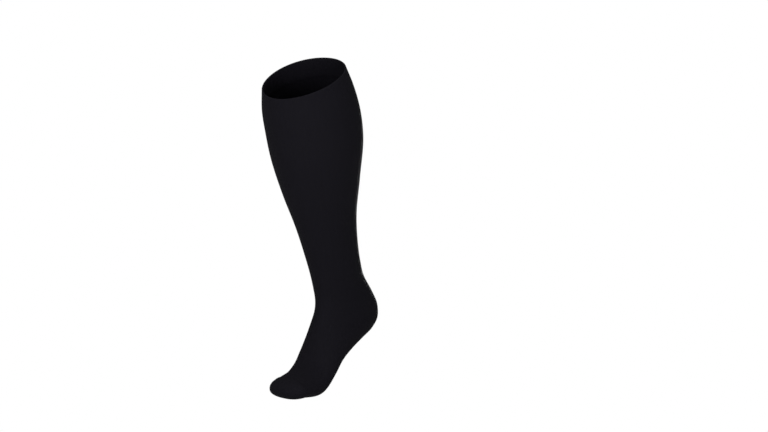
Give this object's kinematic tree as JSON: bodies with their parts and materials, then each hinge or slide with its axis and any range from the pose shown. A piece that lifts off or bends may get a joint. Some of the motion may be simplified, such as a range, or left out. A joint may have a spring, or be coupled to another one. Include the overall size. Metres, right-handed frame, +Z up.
{
  "type": "compression stocking",
  "caption": "Knee-high closed-toe compression stocking: hollow fine-knit tube with a turned top welt, heel and toe pockets, in its worn form with the heel raised and the toes bent.",
  "frame": {"origin": "middle of the top opening, where the stocking is held up round the leg", "axes": "+Z up as worn, -Y towards the toes, +X towards the inner side of the leg"},
  "size_m": [0.1392, 0.2157, 0.4926],
  "materials": {
    "knit": "smooth matt fine-gauge knit, near black, very slightly bluish, with a faint sheen at grazing angles"
  },
  "bodies": {
    "root": {"leg": "knit", "foot": "knit", "toe": "knit"}
  },
  "joints": []
}
